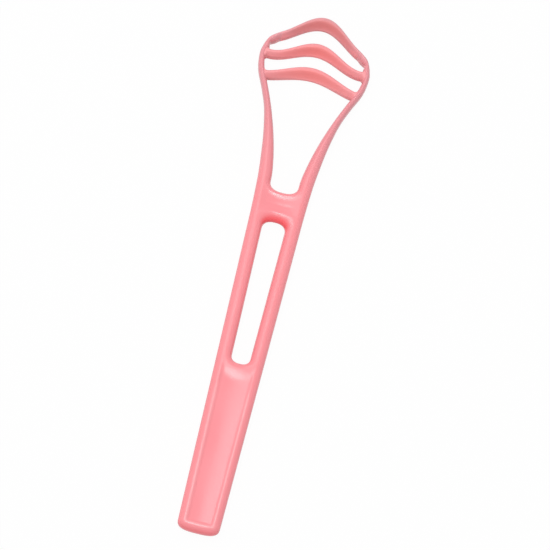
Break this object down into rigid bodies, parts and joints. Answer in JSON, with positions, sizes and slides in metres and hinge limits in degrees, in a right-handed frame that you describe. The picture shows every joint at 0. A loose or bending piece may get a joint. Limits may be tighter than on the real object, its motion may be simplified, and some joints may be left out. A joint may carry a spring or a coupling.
{
  "type": "tongue scraper",
  "caption": "Flat plastic tongue scraper: slim handle with a finger slot and a sunk thumb panel, two arms and a wide rounded head with arched scraping blades.",
  "frame": {"origin": "under the middle of the overall length, on the plane that the back lies on", "axes": "+X across to the right seen from above, +Y along the handle towards the head, +Z out of the face with the thumb panel and the blades' edges"},
  "size_m": [0.0344, 0.17, 0.0044],
  "materials": {
    "moulding": "glossy coral pink, slightly translucent, with faint flow and handling marks"
  },
  "bodies": {
    "root": {"grip": "moulding", "left_rail": "moulding", "right_rail": "moulding", "neck": "moulding", "left_arm": "moulding", "right_arm": "moulding", "tip_blade": "moulding", "middle_blade": "moulding", "rear_blade": "moulding"}
  },
  "joints": []
}
